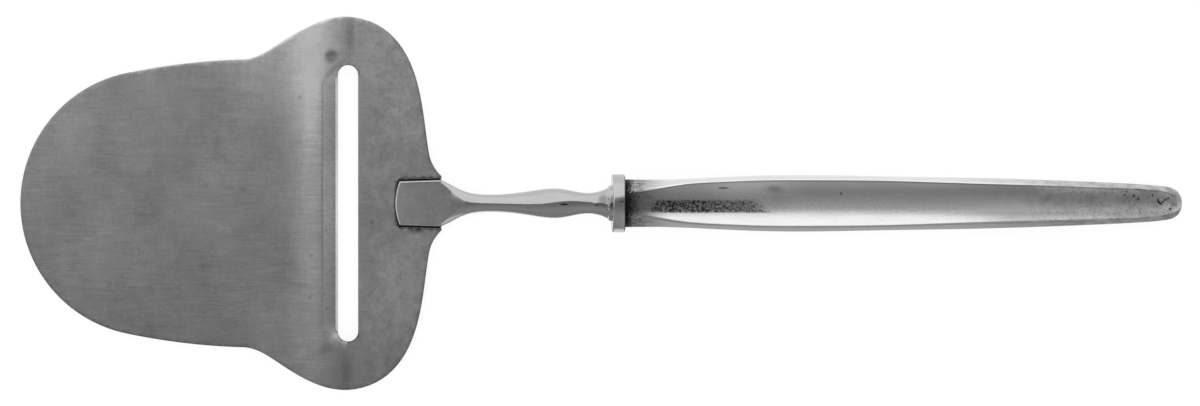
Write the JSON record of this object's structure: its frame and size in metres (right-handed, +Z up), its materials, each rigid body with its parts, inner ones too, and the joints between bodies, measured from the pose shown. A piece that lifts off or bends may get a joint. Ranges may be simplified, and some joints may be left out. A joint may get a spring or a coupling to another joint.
{
  "type": "cheese slicer",
  "caption": "Cheese slicer with a pear-shaped pressed steel blade, a sharpened cross slot, a waisted forged neck, a collar ring and a fluted hollow silver handle.",
  "frame": {"origin": "centre of the bounding box in plan, at the height of the table that the slicer lies on", "axes": "+X from the blade's tip to the handle's end, +Y to the left seen from the handle, +Z up from the table"},
  "size_m": [0.21, 0.0676, 0.0132],
  "materials": {
    "blade_steel": "satin",
    "braze_alloy": "satin",
    "forged_steel": "polished",
    "silver": "polished",
    "silver_solder": "satin",
    "handle_cement": "matte"
  },
  "bodies": {
    "root": {"blade_plate": "blade_steel", "braze_film": "braze_alloy", "shank": "forged_steel", "collar_ring": "silver", "handle_upper_shell": "silver", "handle_lower_shell": "silver", "seam_solder": "silver_solder", "handle_filler": "handle_cement"}
  },
  "joints": []
}
